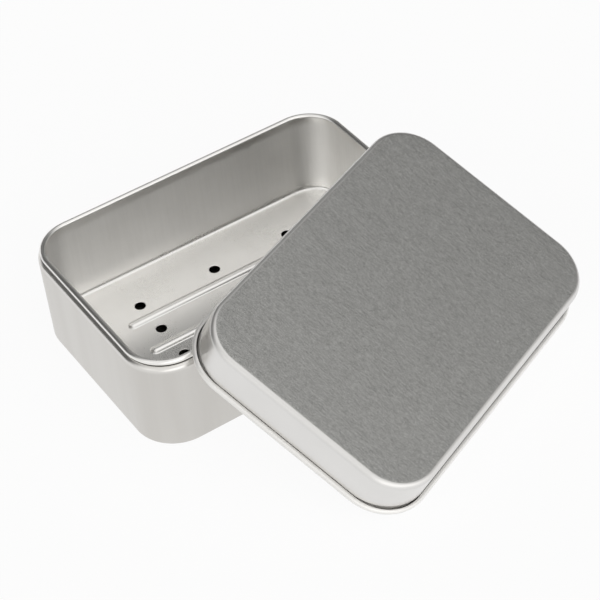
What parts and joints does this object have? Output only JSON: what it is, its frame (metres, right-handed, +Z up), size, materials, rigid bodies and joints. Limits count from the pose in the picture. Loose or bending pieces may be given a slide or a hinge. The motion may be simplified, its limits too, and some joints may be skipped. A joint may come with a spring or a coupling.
{
  "type": "soap box",
  "caption": "Drawn-aluminium soap tin: open rounded box, drop-in drain tray with curled rim, ribs and drain holes, and a shallow lid leaning on the mouth.",
  "frame": {"origin": "middle of the flat underside of the box body", "axes": "+Z up, +X along the box's length, -Y towards the leaning lid"},
  "size_m": [0.1304, 0.1327, 0.0448],
  "materials": {
    "body_tin": "smooth satin, light warm grey",
    "tray_tin": "smooth satin, a little brighter than the body",
    "lid_tin": "finely brushed matte top with bright rounded edges"
  },
  "bodies": {
    "box_body": {"box_body": "body_tin"},
    "drain_tray": {"drain_tray": "tray_tin"},
    "lid": {"lid": "lid_tin"}
  },
  "joints": [
    {"name": "tray_lift", "type": "slide", "parent": "box_body", "child": "drain_tray", "axis": [0, 0, 1], "range_m": [0, 0.035]},
    {"name": "lid_lift", "type": "slide", "parent": "drain_tray", "child": "lid", "axis": [0, 0, 1], "range_m": [0, 0.06]}
  ]
}
